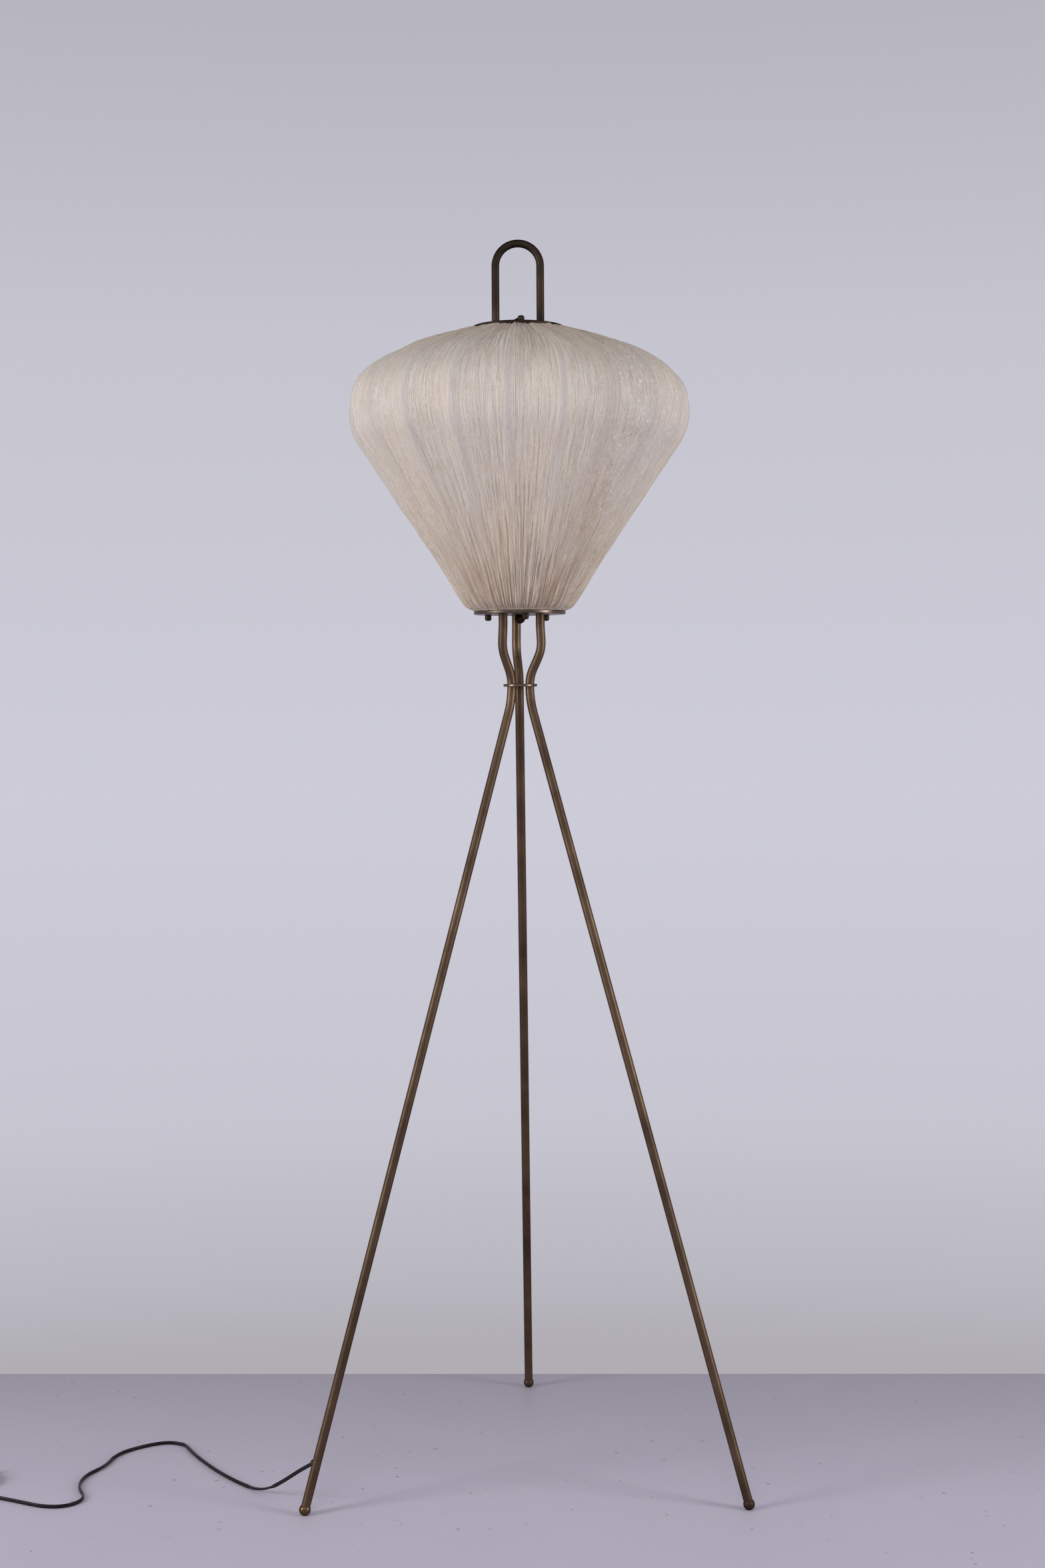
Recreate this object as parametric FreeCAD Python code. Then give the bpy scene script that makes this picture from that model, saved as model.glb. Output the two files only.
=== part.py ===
"""Tripod floor lamp: three bent tube legs, a gathered silk shade between two plates, a carry handle on top.

Millimetres, +Z up. The origin is on the floor, on the lamp's axis. The front of the lamp faces -Y.
"""
import FreeCAD, Part
import math
import os

V = FreeCAD.Vector
UP = V(0, 0, 1)

# ---------------------------------------------------------------- driving dimensions
# stand
TUBE_R = 6.35                 # 1/2 inch leg tube
TUBE_BORE_R = 5.35
FOOT_RING_R = 354.5           # circle through the ball feet
BALL_FOOT_R = 8.0
BALL_FLAT_R = 2.5             # small flat that the foot stands on
BALL_Z = math.sqrt(BALL_FOOT_R ** 2 - BALL_FLAT_R ** 2)
# The legs are turned a little about the axis from their feet up to the lower plate.
FOOT_AZIMUTH = {"front_left": 212.0, "front_right": 332.0, "rear": 90.0}
WAIST_AZIMUTH = {"front_left": 216.0, "front_right": 336.0, "rear": 96.0}
TOP_AZIMUTH = {"front_left": 220.5, "front_right": 340.5, "rear": 100.5}
WAIST_Z = 1141.8
WAIST_R = 24.25
WAIST_THICK = 4.0
WAIST_LEG_R = 15.0            # leg centres at the waist
TOP_LEG_R = 31.1              # leg centres under the lower plate
PLATE_R = 66.0
PLATE_THICK = 5.0
PLATE_EDGE = 1.2
LOWER_Z = 1243.5              # underside of the lower plate
UPPER_Z = 1648.0              # underside of the upper plate
# fasteners
ROD_R = 5.0                   # M10 threaded rod on the lamp's axis
STUD_R = 2.5
STUD_RING_R = 49.0
LOWER_STUDS = (40.4, 160.4, 280.4)
UPPER_STUDS = (36.0, 156.0, 276.0)
CAP_NUT_R = 4.75
CAP_NUT_TALL = 8.6
BALL_NUT_R = 7.6
BALL_NUT_REACH = 13.2         # how far a ball nut stands off its plate
THREAD_GAP = 0.06
SEAT_GAP = 0.1
# shade
EQUATOR_Z = 1531.0
EQUATOR_R = 244.5
CROWN_REACH_POWER = 1.317     # the crown's outline: (r / reach) ** this + (height / rise) ** the next = 1
CROWN_RISE_POWER = 2.594
CROWN_TOP_R = 64.0            # where the crown meets the upper plate
BELLY_R = 79.0                # arc between the equator and the straight taper
TAPER_DEG = 34.0
HEM_Z = 1258.5                # below this the cloth turns in to the lower plate
HEM_FOOT_R = 67.4
FABRIC_THICK = 1.2
RIB_COUNT = 20
RIB_START = 15.7              # azimuth of the first rib
RIB_WIDE = 4.0
RIB_THICK = 1.2
RIB_GAP = 0.15                # between the cloth and a rib
RING_THICK = 2.0
# light cluster
HUB_Z = 1285.0
HUB_R = 22.0
HOLDER_COUNT = 3
HOLDER_TILT = 45.0
BULB_R = 22.5
BULB_WALL = 0.8
# carry handle
HANDLE_R = 5.5
HANDLE_BORE_R = 4.5
HANDLE_BEND_R = 32.0          # also half the distance between its legs
HANDLE_TOP_Z = 1777.0
# lead
LEAD_R = 2.7                  # flat twin lead, 5.4 mm wide
CORE_R = 2.1                  # the same lead inside the leg
GROMMET_Z = 72.0
GROMMET_AZIMUTH = 141.0       # the way in which the lead leaves the leg
GROMMET_DIP = 31.0            # and how far below level
GROMMET_NECK_R = 3.7
GROMMET_BALL_R = 5.0
GROMMET_BALL_S = 8.3          # middle of its ball, from the leg's axis along the lead
GROMMET_FACE_S = 12.0         # flat face where the lead comes out
COIL_CENTRE = V(-795.0, -70.0, 0)
COIL_TURN_R = 31.5            # middle of the turns
COIL_ENTRY = 248.0            # azimuth where the lead joins the coil
COIL_EXIT = 180.0
TIE_AZIMUTH = 60.0
PLUG_AXIS_Z = 7.0

NODES = {}


# ---------------------------------------------------------------- helpers
def polar(radius, azimuth, z=0.0):
    a = math.radians(azimuth)
    return V(radius * math.cos(a), radius * math.sin(a), z)


def cylinder(radius, start, end):
    axis = end - start
    return Part.makeCylinder(radius, axis.Length, start, axis)


def ring(outer, inner, z, thick):
    return cylinder(outer, V(0, 0, z), V(0, 0, z + thick)).cut(cylinder(inner, V(0, 0, z), V(0, 0, z + thick)))


def turned(points, start=V(0, 0, 0), axis=UP):
    """A solid of revolution from (radius, distance along the axis) points, closed along the axis."""
    wire = Part.makePolygon([V(r, 0, s) for r, s in points] + [V(points[0][0], 0, points[0][1])])
    solid = Part.Face(wire).revolve(V(0, 0, 0), UP, 360)
    return placed(solid, start, axis)


def placed(shape, start, axis):
    shape = shape.copy()
    shape.Placement = FreeCAD.Placement(start, FreeCAD.Rotation(UP, axis)).multiply(shape.Placement)
    return shape


def hex_prism(across_flats, z, thick, centre=V(0, 0, 0)):
    corner_r = across_flats / 2 / math.cos(math.radians(30))
    corners = [centre + polar(corner_r, 60 * i, z) for i in range(7)]
    return Part.Face(Part.makePolygon(corners)).extrude(V(0, 0, thick))


def rounded_path(points, radii):
    """Straight runs joined by tangent arcs: one radius for each inner point. Returns a wire."""
    edges = []
    start = points[0]
    for before, corner, after, radius in zip(points, points[1:], points[2:], radii):
        into = (corner - before).normalize()
        out = (after - corner).normalize()
        half = into.getAngle(out) / 2
        reach = radius * math.tan(half)
        first = corner - into * reach
        last = corner + out * reach
        bisector = (out - into).normalize()
        middle = corner + bisector * (radius / math.cos(half) - radius)
        edges.append(Part.LineSegment(start, first).toShape())
        edges.append(Part.Arc(first, middle, last).toShape())
        start = last
    edges.append(Part.LineSegment(start, points[-1]).toShape())
    return Part.Wire(edges)


def pipe(path, radius):
    first = path.Edges[0]
    start = first.valueAt(first.FirstParameter)
    tangent = first.tangentAt(first.FirstParameter)
    profile = Part.Wire([Part.makeCircle(radius, start, tangent)])
    solid = path.makePipeShell([profile], True, False)
    return solid


def lead_radii(points):
    """The largest arcs that the lead's runs allow: 0.45 of the shorter run over the tangent of half the turn."""
    radii = []
    for before, corner, after in zip(points, points[1:], points[2:]):
        into = corner - before
        out = after - corner
        half = into.getAngle(out) / 2
        radii.append(0.45 * min(into.Length, out.Length) / math.tan(half))
    return radii


def save(node, *solids):
    shape = solids[0] if len(solids) == 1 else Part.makeCompound(list(solids))
    NODES[node] = shape
    shape.exportStep("parts/%s.step" % node)


# ---------------------------------------------------------------- legs and feet
def leg_points(name):
    """The centre line of one leg, from the lower plate down to the middle of its ball foot."""
    top = TOP_AZIMUTH[name]
    waist = WAIST_AZIMUTH[name]
    return [polar(TOP_LEG_R, top, LOWER_Z),
            polar(TOP_LEG_R, top, LOWER_Z - 17.5),
            polar(TOP_LEG_R + 2.2, top, WAIST_Z + 51.6),
            polar(WAIST_LEG_R, waist, WAIST_Z + 12.4),
            polar(WAIST_LEG_R, waist, WAIST_Z - 21.1),
            polar(FOOT_RING_R, FOOT_AZIMUTH[name], BALL_Z)]


LEG_BENDS = (200.0, 50.0, 55.0, 133.0)
BALL_SHOULDER = 5.0           # flat of the ball that the tube butts on, from the ball's middle


def leg_direction(points):
    return (points[-1] - points[-2]).normalize()


def leg_path(points, end_short):
    points = points[:-1] + [points[-1] - leg_direction(points) * end_short]
    return rounded_path(points, LEG_BENDS)


def grommet_frame():
    """A point on the front left leg's axis, and the direction in which the lead leaves it."""
    points = leg_points("front_left")
    down = leg_direction(points)
    centre = points[-1] - down * ((GROMMET_Z - points[-1].z) / -down.z)
    dip = math.radians(GROMMET_DIP)
    return centre, polar(math.cos(dip), GROMMET_AZIMUTH, -math.sin(dip))


def make_legs():
    outers = []
    for name in FOOT_AZIMUTH:
        points = leg_points(name)
        path = leg_path(points, BALL_SHOULDER)
        outer = pipe(path, TUBE_R)
        leg = outer.cut(pipe(path, TUBE_BORE_R))
        if name == "front_left":
            centre, exit_way = grommet_frame()
            leg = leg.cut(cylinder(GROMMET_NECK_R, centre, centre + exit_way * GROMMET_FACE_S))
        save("leg_" + name, leg)
        outers.append(outer)
        save("foot_ball_" + name, foot_ball(points))
    return outers


def foot_ball(points):
    centre = points[-1]
    up_leg = leg_direction(points) * -1
    ball = Part.makeSphere(BALL_FOOT_R, centre)
    shoulder = centre + up_leg * BALL_SHOULDER
    ball = ball.cut(cylinder(BALL_FOOT_R, shoulder, shoulder + up_leg * BALL_FOOT_R))
    ball = ball.cut(cylinder(BALL_FOOT_R, V(centre.x, centre.y, -1), V(centre.x, centre.y, 0)))
    spigot = cylinder(TUBE_BORE_R, shoulder, shoulder + up_leg * 12)
    return ball.fuse(spigot)


def make_leg_tops():
    """A threaded insert in each leg's upper end, and the nut that holds it on the lower plate."""
    inserts = []
    nuts = []
    for azimuth in TOP_AZIMUTH.values():
        top = polar(TOP_LEG_R, azimuth)
        bore = 3.5
        section = [(bore, LOWER_Z - 9), (TUBE_BORE_R, LOWER_Z - 9), (TUBE_BORE_R, LOWER_Z),
                   (ROD_R, LOWER_Z), (ROD_R, LOWER_Z + 12), (bore, LOWER_Z + 12)]
        insert = turned(section)
        insert.translate(top)
        inserts.append(insert)
        plate_top = LOWER_Z + PLATE_THICK
        hole = cylinder(ROD_R, top + UP * plate_top, top + UP * (plate_top + 5))
        nuts.append(hex_prism(14, plate_top, 4, top).cut(hole))
    save("leg_inserts", *inserts)
    save("leg_nuts", *nuts)


def make_grommet(leg_outer, inner_lead):
    """A rubber ball against the leg, with a neck through the wall and a lip inside it."""
    centre, way = grommet_frame()
    face = centre + way * GROMMET_FACE_S
    ball = Part.makeSphere(GROMMET_BALL_R, centre + way * GROMMET_BALL_S)
    ball = ball.cut(cylinder(GROMMET_BALL_R, face, face + way * GROMMET_BALL_R)).cut(leg_outer)
    neck = cylinder(GROMMET_NECK_R, centre + way * 2.6, centre + way * GROMMET_BALL_S)
    inner_lip = cylinder(4.0, centre + way * 2.6, centre + way * 3.3)
    body = ball.fuse(neck).fuse(inner_lip).cut(inner_lead)
    save("cable_grommet", body.removeSplitter())


# ---------------------------------------------------------------- plates, rod and nuts
def disc(z, holes):
    plate = cylinder(PLATE_R, V(0, 0, z), V(0, 0, z + PLATE_THICK))
    rim = [e for e in plate.Edges if e.Curve.TypeId == "Part::GeomCircle"]
    plate = plate.makeFillet(PLATE_EDGE, rim)
    for radius, at in holes:
        plate = plate.cut(cylinder(radius, at + UP * z, at + UP * (z + PLATE_THICK)))
    return plate


def cap_nut(seat, up):
    """A smooth domed nut that closes over a stud's end."""
    tall = CAP_NUT_TALL
    inside = tall - 2.2
    section = [(STUD_R, 0), (CAP_NUT_R - 0.4, 0), (CAP_NUT_R, 0.4), (CAP_NUT_R, tall - 2.6),
               (CAP_NUT_R - 0.6, tall - 1.1), (CAP_NUT_R - 1.9, tall - 0.3), (0, tall), (0, inside),
               (STUD_R, inside)]
    return turned(section, seat, UP if up else UP * -1)


def ball_nut(z, up):
    """A ball with a flat seat and a blind threaded hole. It turns on the rod's end."""
    centre_s = BALL_NUT_REACH - BALL_NUT_R
    ball = Part.makeSphere(BALL_NUT_R, V(0, 0, centre_s))
    ball = ball.cut(Part.makeBox(40, 40, 20, V(-20, -20, SEAT_GAP - 20)))
    ball = ball.cut(cylinder(ROD_R + THREAD_GAP, V(0, 0, 0), V(0, 0, 9.2)))
    return placed(ball, V(0, 0, z), UP if up else UP * -1)


def make_plates(leg_outers):
    waist = cylinder(WAIST_R, V(0, 0, WAIST_Z - WAIST_THICK / 2), V(0, 0, WAIST_Z + WAIST_THICK / 2))
    rim = [e for e in waist.Edges if e.Curve.TypeId == "Part::GeomCircle"]
    waist = waist.makeFillet(0.8, rim)
    for outer in leg_outers:
        waist = waist.cut(outer)
    save("waist_plate", waist)

    centre_hole = [(ROD_R, V(0, 0, 0))]
    lower_studs = [(STUD_R, polar(STUD_RING_R, a)) for a in LOWER_STUDS]
    upper_studs = [(STUD_R, polar(STUD_RING_R, a)) for a in UPPER_STUDS]
    leg_holes = [(ROD_R, polar(TOP_LEG_R, a)) for a in TOP_AZIMUTH.values()]
    handle_holes = [(STUD_R, V(x, 0, 0)) for x in (-HANDLE_BEND_R, HANDLE_BEND_R)]
    save("lower_plate", disc(LOWER_Z, centre_hole + lower_studs + leg_holes))
    save("upper_plate", disc(UPPER_Z, centre_hole + upper_studs + handle_holes))

    upper_top = UPPER_Z + PLATE_THICK
    save("lower_cap_nuts", *[cap_nut(polar(STUD_RING_R, a, LOWER_Z), False) for a in LOWER_STUDS])
    save("upper_cap_nuts", *[cap_nut(polar(STUD_RING_R, a, upper_top), True) for a in UPPER_STUDS])
    save("lower_ball_nut", ball_nut(LOWER_Z, False))
    save("upper_ball_nut", ball_nut(upper_top, True))
    save("centre_rod", turned([(3.5, LOWER_Z - 8.8), (ROD_R, LOWER_Z - 8.8), (ROD_R, upper_top + 8.8),
                               (3.5, upper_top + 8.8)]))
    nut_levels = (LOWER_Z + PLATE_THICK, HUB_Z - HUB_R - 3.0, HUB_Z + HUB_R - 1.0, UPPER_Z - 4.0)
    bore = cylinder(ROD_R, V(0, 0, LOWER_Z), V(0, 0, upper_top))
    save("rod_nuts", *[hex_prism(16, z, 4).cut(bore) for z in nut_levels])


# ---------------------------------------------------------------- shade
def shade_outline(depth, foot_z, crown_r):
    """Edges of the shade's outline, `depth` inside the cloth's outer face, from foot_z up to crown_r."""
    taper = math.radians(TAPER_DEG)
    taper_way = V(math.sin(taper), 0, math.cos(taper))
    taper_in = V(-math.cos(taper), 0, math.sin(taper))
    belly_centre = V(EQUATOR_R - BELLY_R, 0, EQUATOR_Z)
    arc_r = BELLY_R - depth
    arc_foot = belly_centre - taper_in * arc_r
    outer_foot = belly_centre - taper_in * BELLY_R
    knee = outer_foot - taper_way * ((outer_foot.z - HEM_Z) / taper_way.z)
    hem_way = (knee - V(HEM_FOOT_R, 0, LOWER_Z + PLATE_THICK)).normalize()
    hem_in = V(-hem_way.z, 0, hem_way.x)
    knee = knee + (taper_in + hem_in) * (depth / (1 + taper_in.dot(hem_in)))
    foot = knee - hem_way * ((knee.z - foot_z) / hem_way.z)
    belly_mid = belly_centre + V(math.cos(taper / 2), 0, -math.sin(taper / 2)) * arc_r
    equator = V(EQUATOR_R - depth, 0, EQUATOR_Z)
    return [Part.LineSegment(foot, knee).toShape(), Part.LineSegment(knee, arc_foot).toShape(),
            Part.Arc(arc_foot, belly_mid, equator).toShape(), crown_edge(depth, crown_r)]


def crown_edge(depth, crown_r):
    at_plate = (CROWN_TOP_R / EQUATOR_R) ** CROWN_REACH_POWER
    rise = (UPPER_Z - EQUATOR_Z) / (1 - at_plate) ** (1 / CROWN_RISE_POWER) - depth
    reach = EQUATOR_R - depth
    end = math.acos((crown_r / reach) ** (CROWN_REACH_POWER / 2))
    steps = 14
    points = []
    for i in range(steps + 1):
        t = end * i / steps
        radius = reach * math.cos(t) ** (2 / CROWN_REACH_POWER)
        points.append(V(radius, 0, EQUATOR_Z + rise * math.sin(t) ** (2 / CROWN_RISE_POWER)))
    curve = Part.BSplineCurve()
    curve.interpolate(points)
    return curve.toShape()


def ends(edges):
    wire = Part.Wire(edges)
    points = [v.Point for v in wire.OrderedVertexes]
    return points[0], points[-1]


def lines(*points):
    return [Part.LineSegment(a, b).toShape() for a, b in zip(points, points[1:])]


def make_fabric():
    plate_top = LOWER_Z + PLATE_THICK
    ring_top_r = CROWN_TOP_R - 2
    outer = shade_outline(0, plate_top, CROWN_TOP_R)
    inner = shade_outline(FABRIC_THICK, plate_top + 1.3, ring_top_r)
    outer_foot, outer_top = ends(outer)
    inner_foot, inner_top = ends(inner)
    top = lines(outer_top, V(ring_top_r, 0, outer_top.z), inner_top)
    bottom = lines(inner_foot, V(PLATE_R, 0, inner_foot.z), V(PLATE_R, 0, plate_top), outer_foot)
    face = Part.Face(Part.Wire(Part.__sortEdges__(outer + top + inner + bottom)))
    save("shade_fabric", face.revolve(V(0, 0, 0), UP, 360))


def make_frame():
    """Two flat rings with welded studs, and twenty flat spring steel ribs between them."""
    plate_top = LOWER_Z + PLATE_THICK
    lower = ring(PLATE_R, 42, plate_top, RING_THICK)
    for azimuth in LOWER_STUDS:
        at = polar(STUD_RING_R, azimuth)
        lower = lower.fuse(cylinder(STUD_R, at + UP * (plate_top + 1), at + UP * (LOWER_Z - 6.4)))
    save("frame_lower_ring", lower)
    upper = ring(CROWN_TOP_R - 2, 42, UPPER_Z - RING_THICK, RING_THICK)
    for azimuth in UPPER_STUDS:
        at = polar(STUD_RING_R, azimuth)
        upper = upper.fuse(cylinder(STUD_R, at + UP * (UPPER_Z - 1), at + UP * (UPPER_Z + PLATE_THICK + 6.4)))
    save("frame_upper_ring", upper)

    seat = plate_top + RING_THICK
    under = UPPER_Z - RING_THICK
    depth = FABRIC_THICK + RIB_GAP
    outer = shade_outline(depth, seat, 72)
    inner = shade_outline(depth + RIB_THICK, seat + RIB_THICK, 72)
    outer_foot, outer_top = ends(outer)
    inner_foot, inner_top = ends(inner)
    top = lines(outer_top, V(61, 0, under), V(53, 0, under), V(53, 0, under - RIB_THICK),
                V(61, 0, under - RIB_THICK), inner_top)
    bottom = lines(inner_foot, V(56, 0, inner_foot.z), V(56, 0, seat), outer_foot)
    face = Part.Face(Part.Wire(Part.__sortEdges__(outer + top + inner + bottom)))
    rib = face.extrude(V(0, RIB_WIDE, 0))
    rib.translate(V(0, -RIB_WIDE / 2, 0))
    ribs = []
    for i in range(RIB_COUNT):
        copy = rib.copy()
        copy.rotate(V(0, 0, 0), UP, RIB_START + 360 / RIB_COUNT * i)
        ribs.append(copy)
    save("shade_ribs", *ribs)


# ---------------------------------------------------------------- light cluster
def holder_ways():
    tilt = math.radians(HOLDER_TILT)
    for i in range(HOLDER_COUNT):
        flat = polar(math.sin(tilt), 31.5 + 360 / HOLDER_COUNT * i)
        yield i + 1, flat + UP * math.cos(tilt)


def make_cluster(inner_lead):
    """Three small lampholders on a hollow hub, each with its golf ball bulb."""
    hub_middle = V(0, 0, HUB_Z)
    flat = HUB_R - 1.0
    hub = Part.makeSphere(HUB_R, hub_middle)
    hub = hub.common(cylinder(HUB_R, hub_middle - UP * flat, hub_middle + UP * flat))
    hub = hub.cut(Part.makeSphere(HUB_R - 2.0, hub_middle).cut(cylinder(8, hub_middle - UP * 30,
                                                                         hub_middle + UP * 30)))
    hub = hub.cut(cylinder(ROD_R, hub_middle - UP * 30, hub_middle + UP * 30))
    hub = hub.cut(inner_lead)
    for number, way in holder_ways():
        nipple_seat = hub_middle + way * (HUB_R - 2.5)
        hub = hub.cut(cylinder(4.0, nipple_seat, hub_middle + way * 30))
        name = str(number)
        save("holder_nipple_" + name, turned([(2.5, 17.5), (4.0, 17.5), (4.0, 31), (2.5, 31)], hub_middle, way))
        save("lampholder_" + name, turned([(4.0, 22.4), (10.5, 22.4), (12.5, 25), (14, 30), (14, 62), (7.05, 62),
                                           (7.05, 34), (4.0, 34)], hub_middle, way))
        save("holder_contact_" + name, turned([(0, 34), (7.05, 34), (7.05, 36), (2.4, 36), (2.4, 37.6),
                                               (0, 37.6)], hub_middle, way))
        make_bulb(name, hub_middle, way)
    save("cluster_hub", hub)


def make_bulb(name, origin, way):
    cap_section = [(0, 38.0), (2.6, 38.0), (5.2, 40.5), (6.98, 41.5)]
    turns = 5
    for i in range(turns):
        start = 42.5 + 3.2 * i
        cap_section += [(6.98, start), (6.4, start + 0.9), (6.4, start + 1.6), (6.98, start + 2.5)]
    cap_section += [(6.98, 62.5), (8.4, 65.5), (0, 65.5)]
    save("bulb_cap_" + name, turned(cap_section, origin, way))
    save("bulb_glass_" + name, placed(bulb_shell(65.5), origin, way))
    stem = turned([(0, 65.55), (4.6, 65.55), (2.0, 78), (2.0, 84), (0, 84)], origin, way)
    filaments = []
    for i in range(4):
        low = polar(1.2, 90 * i, 84.3)
        high = polar(6.5, 90 * i + 60, 108)
        filaments.append(placed(cylinder(0.7, low, high), origin, way))
    save("bulb_stem_" + name, stem)
    save("bulb_filaments_" + name, *filaments)


def bulb_shell(neck_s):
    """A thin closed glass bulb along +Z: a short neck that opens into a ball."""
    middle_s = neck_s + 30.0
    outlines = []
    for depth in (0.0, BULB_WALL):
        radius = BULB_R - depth
        neck = V(8.4 - depth, 0, neck_s)
        low = math.radians(-50)
        join = V(radius * math.cos(low), 0, middle_s + radius * math.sin(low))
        curve = Part.BSplineCurve()
        curve.interpolate([neck, V(9.6 - depth, 0, neck_s + 5), join],
                          InitialTangent=V(0.05, 0, 1), FinalTangent=V(-math.sin(low), 0, math.cos(low)))
        side = V(radius, 0, middle_s)
        tip = V(0, 0, middle_s + radius)
        outlines.append((neck, tip, [curve.toShape(), Part.Arc(join, side, tip).toShape()]))
    (neck, tip, outer), (inner_neck, inner_tip, inner) = outlines
    face = Part.Face(Part.Wire(Part.__sortEdges__(outer + lines(tip, inner_tip) + inner + lines(inner_neck, neck))))
    return face.revolve(V(0, 0, 0), UP, 360)


# ---------------------------------------------------------------- carry handle
def make_handle():
    foot_z = UPPER_Z + PLATE_THICK
    bend_z = HANDLE_TOP_Z - HANDLE_R - HANDLE_BEND_R
    left = V(-HANDLE_BEND_R, 0, foot_z)
    right = V(HANDLE_BEND_R, 0, foot_z)
    bend_start = V(-HANDLE_BEND_R, 0, bend_z)
    bend_end = V(HANDLE_BEND_R, 0, bend_z)
    crest = V(0, 0, bend_z + HANDLE_BEND_R)
    path = Part.Wire([Part.LineSegment(left, bend_start).toShape(), Part.Arc(bend_start, crest, bend_end).toShape(),
                      Part.LineSegment(bend_end, right).toShape()])
    save("carry_handle", pipe(path, HANDLE_R).cut(pipe(path, HANDLE_BORE_R)))
    plugs = []
    screws = []
    for foot in (left, right):
        plug = cylinder(HANDLE_BORE_R, foot, foot + UP * 16).cut(cylinder(STUD_R, foot, foot + UP * 12))
        plugs.append(plug)
        shank = cylinder(STUD_R, foot - UP * (PLATE_THICK + 1), foot + UP * 11)
        head_top = foot - UP * PLATE_THICK
        head = cylinder(4.6, head_top - UP * 3, head_top)
        slot = Part.makeBox(10, 1.2, 1.2, head_top + V(-5, -0.6, -3))
        screws.append(head.fuse(shank).cut(slot))
    save("handle_plugs", *plugs)
    save("handle_screws", *screws)


# ---------------------------------------------------------------- lead and plug
LEAD_ENTRY_Z = 1276.0         # where the lead turns in to the hub


def make_inner_lead():
    """The lead from the grommet up the front left leg, through its insert and into the hub."""
    centre, way = grommet_frame()
    points = leg_points("front_left")
    leg_top = V(points[0].x, points[0].y, LEAD_ENTRY_Z)
    hub_side = V(0, 0, LEAD_ENTRY_Z) + V(points[0].x, points[0].y, 0).normalize() * 16
    route = [centre + way * GROMMET_FACE_S, centre] + points[-2:0:-1] + [leg_top, hub_side]
    radii = [7.0] + list(reversed(LEG_BENDS)) + [8.0]
    lead = pipe(rounded_path(route, radii), CORE_R)
    save("inner_lead", lead)
    return lead


# From the grommet the lead drops behind the front left foot, runs back and to the left along the floor,
# turns forward in a wide bend, turns left again and goes off to its coil.
LEAD_ROUTE = [V(-336.0, -136.0, 28.5), V(-359.0, -117.0, 10.5), V(-382.0, -100.5, LEAD_R), V(-410.0, -74.0, LEAD_R),
              V(-441.0, -38.0, LEAD_R), V(-471.0, 4.0, LEAD_R), V(-500.0, 52.0, LEAD_R), V(-513.0, 80.5, LEAD_R),
              V(-543.0, 91.0, LEAD_R), V(-580.0, 69.5, LEAD_R), V(-608.0, 39.0, LEAD_R), V(-615.0, -10.0, LEAD_R),
              V(-637.0, -49.0, LEAD_R), V(-637.5, -92.0, LEAD_R), V(-616.0, -134.0, LEAD_R),
              V(-633.0, -163.0, LEAD_R), V(-667.0, -167.0, LEAD_R), V(-715.0, -143.0, LEAD_R),
              V(-766.1, -121.4, LEAD_R)]
LEAD_TAIL = [V(-834.5, -43.0, 8.2), V(-843.0, -18.0, 7.4)]


def coil_point(azimuth, radius, z):
    return COIL_CENTRE + polar(radius, azimuth, z)


def make_lead():
    centre, way = grommet_frame()
    exit_point = centre + way * GROMMET_FACE_S
    outer_turn = COIL_TURN_R + 2 * LEAD_R
    entry = coil_point(COIL_ENTRY, outer_turn, LEAD_R)
    route = [exit_point, exit_point + way * 26.0] + LEAD_ROUTE + [entry]
    radii = lead_radii(route)
    path = rounded_path(route, radii)
    print("lead: %.0f mm of tube, radii" % path.Length, [round(r) for r in radii])
    tube = pipe(path, LEAD_R)
    print("lead volume over section times length: %.4f" % (tube.Volume / (math.pi * LEAD_R ** 2 * path.Length)))
    save("supply_cord", tube)

    leave = coil_point(COIL_EXIT, outer_turn, 3 * LEAD_R)
    plug_way = V(math.cos(math.radians(110)), math.sin(math.radians(110)), 0)
    relief_tip = LEAD_TAIL[-1] + plug_way * 20 + V(0, 0, PLUG_AXIS_Z - LEAD_TAIL[-1].z)
    tail_route = [leave] + LEAD_TAIL + [relief_tip]
    tail_radii = lead_radii(tail_route)
    tail_path = rounded_path(tail_route, tail_radii)
    print("tail: %.0f mm, radii" % tail_path.Length, [round(r) for r in tail_radii])
    tail = pipe(tail_path, LEAD_R)
    save("cord_tail", tail)

    turns = 4 + (COIL_ENTRY - COIL_EXIT) / 360
    coil_length = 2 * math.pi * (4 * COIL_TURN_R + (turns - 4) * (COIL_TURN_R - 2 * LEAD_R))
    print("coil: %.0f mm in %.2f turns, whole lead %.0f mm"
          % (coil_length, turns, path.Length + coil_length + tail_path.Length))
    outer = outer_turn + LEAD_R
    inner = COIL_TURN_R - 3 * LEAD_R
    coil = cylinder(outer, COIL_CENTRE, COIL_CENTRE + UP * (4 * LEAD_R))
    coil = coil.cut(cylinder(inner, COIL_CENTRE, COIL_CENTRE + UP * (4 * LEAD_R)))
    tie = coil_tie(inner, outer)
    save("cord_tie", tie)
    save("cord_coil", coil.cut(tie))
    make_plug(relief_tip, plug_way, tail)


def coil_tie(inner, outer):
    """A flat strap looped once round the coil's turns, on the side away from the lamp."""
    thick = 0.8
    wide = 8.0
    high = 4 * LEAD_R
    slack = 0.5
    loop = Part.makeBox(outer - inner + 2 * (thick + slack), wide, high + thick,
                        V(inner - slack - thick, -wide / 2, 0))
    opening = Part.makeBox(outer - inner + 2 * slack, wide, high - thick, V(inner - slack, -wide / 2, thick))
    loop = loop.cut(opening)
    loop.rotate(V(0, 0, 0), UP, TIE_AZIMUTH)
    loop.translate(COIL_CENTRE)
    return loop


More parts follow.
